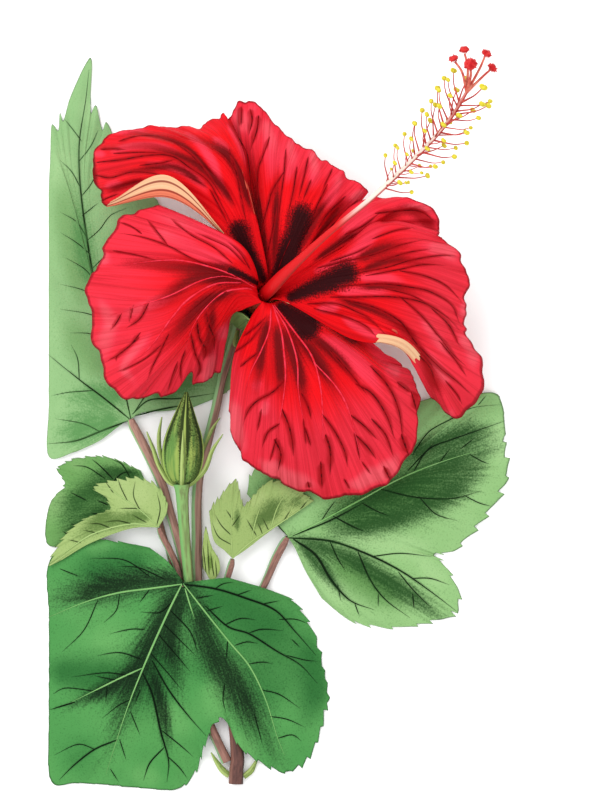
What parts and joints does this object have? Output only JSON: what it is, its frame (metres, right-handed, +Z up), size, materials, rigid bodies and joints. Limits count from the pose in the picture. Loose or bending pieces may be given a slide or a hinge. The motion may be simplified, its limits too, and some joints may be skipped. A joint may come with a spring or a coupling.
{
  "type": "hibiscus flower",
  "caption": "Open five-petalled hibiscus bloom with a long staminal column, on its cut leafy sprig with a bud, lying flat.",
  "frame": {"origin": "centre of the bounding box in X and Y, on the surface the sprig lies on", "axes": "+Y along the sprig from the cut stem end to the stigmas, +Z up out of the surface towards the bloom's face, +X to the right seen from above"},
  "size_m": [0.1522, 0.2342, 0.0804],
  "materials": {
    "petal": "matt scarlet tissue, cream on the back",
    "staminal": "pale pink and yellow, velvety",
    "stigma": "deep red velvet",
    "calyx": "matt green",
    "stalk": "matt brown-green bark",
    "leaf": "matt green leaf, pale veins",
    "bud": "matt olive green"
  },
  "bodies": {
    "root": {"bud": "bud", "bud_bract_front": "bud", "bud_bract_left": "bud", "bud_bract_outer_left": "bud", "bud_bract_outer_right": "bud", "bud_bract_right": "bud", "flower_bract_front": "calyx", "flower_bract_left": "calyx", "flower_bract_right": "calyx", "flower_calyx": "calyx", "leaf_big": "leaf", "leaf_folded": "leaf", "leaf_right": "leaf", "leaf_shaded": "leaf", "leaf_tall": "leaf", "leaf_unfurling": "leaf", "leaf_young": "leaf", "main_stem": "stalk", "petal_left": "petal", "petal_lower": "petal", "petal_right": "petal", "petal_top": "petal", "petal_upper_left": "petal", "stalk_big_leaf": "stalk", "stalk_bud": "stalk", "stalk_flower": "stalk", "stalk_folded_leaf": "stalk", "stalk_right_leaf": "stalk", "stalk_shaded_leaf": "stalk", "stalk_tall_leaf": "stalk", "stalk_young_leaf": "stalk", "staminal_column": "staminal", "stipule_left": "stalk", "stipule_right": "stalk", "style_with_stigmas": "stigma"}
  },
  "joints": []
}
